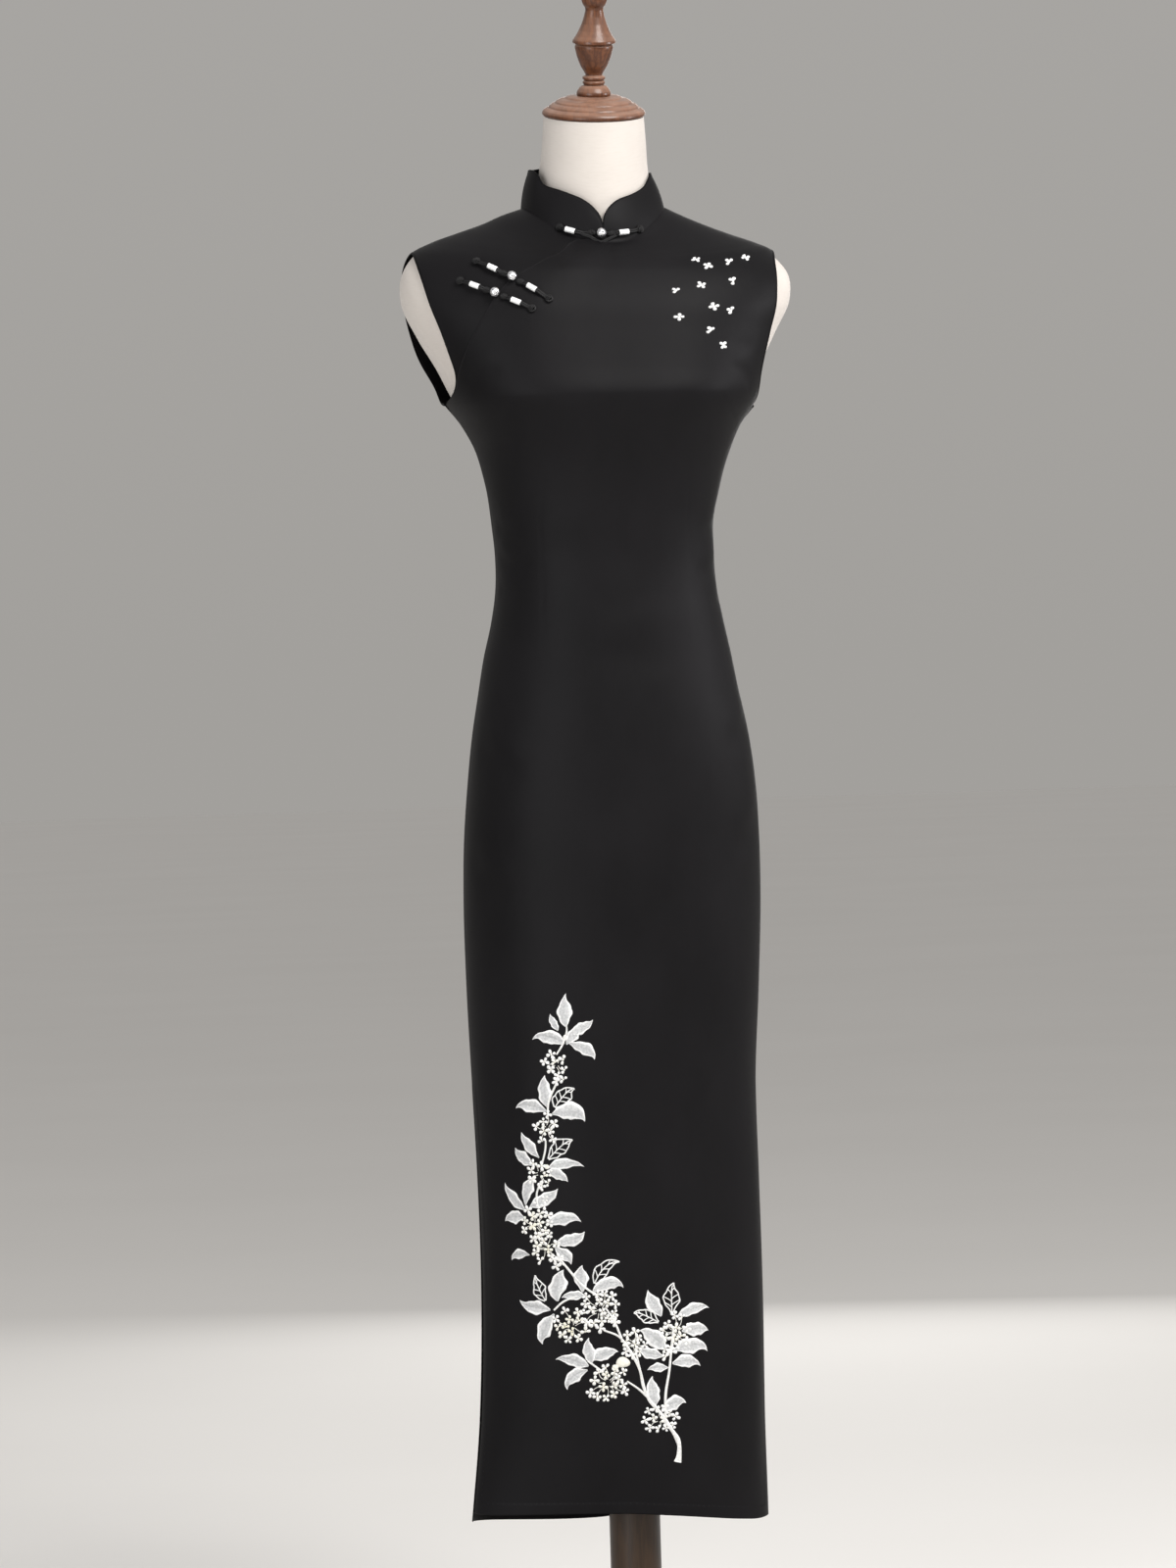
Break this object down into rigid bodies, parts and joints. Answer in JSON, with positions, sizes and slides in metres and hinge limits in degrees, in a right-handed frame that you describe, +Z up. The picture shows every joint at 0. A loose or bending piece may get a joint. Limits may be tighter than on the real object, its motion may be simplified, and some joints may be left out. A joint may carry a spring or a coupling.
{
  "type": "cheongsam dress on a dress form stand",
  "caption": "Long sleeveless black satin cheongsam with standing collar, frog fastenings, side slits and embroidered sprays, on a limbless dress form with a turned wooden stand.",
  "frame": {"origin": "middle of the base's underside, on the stand's vertical axis", "axes": "+Z up the stand; the dress faces -Y; +X is the dress's own left side"},
  "size_m": [0.42, 0.42, 1.7262],
  "materials": {
    "black_satin": "satin",
    "form_linen": "matte",
    "red_wood": "varnished",
    "dark_wood": "varnished",
    "frog_cord": "satin",
    "silver": "polished",
    "pearl_bead": "gloss"
  },
  "bodies": {
    "root": {"dress_front": "black_satin", "dress_under_lap": "black_satin", "dress_back": "black_satin", "collar": "black_satin", "form_body": "form_linen", "neck_cap": "red_wood", "finial": "red_wood", "column": "dark_wood", "base": "dark_wood", "frog_neck_ball": "silver", "frog_neck_cord_right": "frog_cord", "frog_neck_cord_left": "frog_cord", "frog_neck_bead_right": "pearl_bead", "frog_neck_bead_left": "pearl_bead", "frog_chest_upper_ball": "silver", "frog_chest_upper_cord_right": "frog_cord", "frog_chest_upper_cord_left": "frog_cord", "frog_chest_upper_bead_right": "pearl_bead", "frog_chest_upper_bead_left": "pearl_bead", "frog_chest_lower_ball": "silver", "frog_chest_lower_cord_right": "frog_cord", "frog_chest_lower_cord_left": "frog_cord", "frog_chest_lower_bead_right": "pearl_bead", "frog_chest_lower_bead_left": "pearl_bead"}
  },
  "joints": []
}
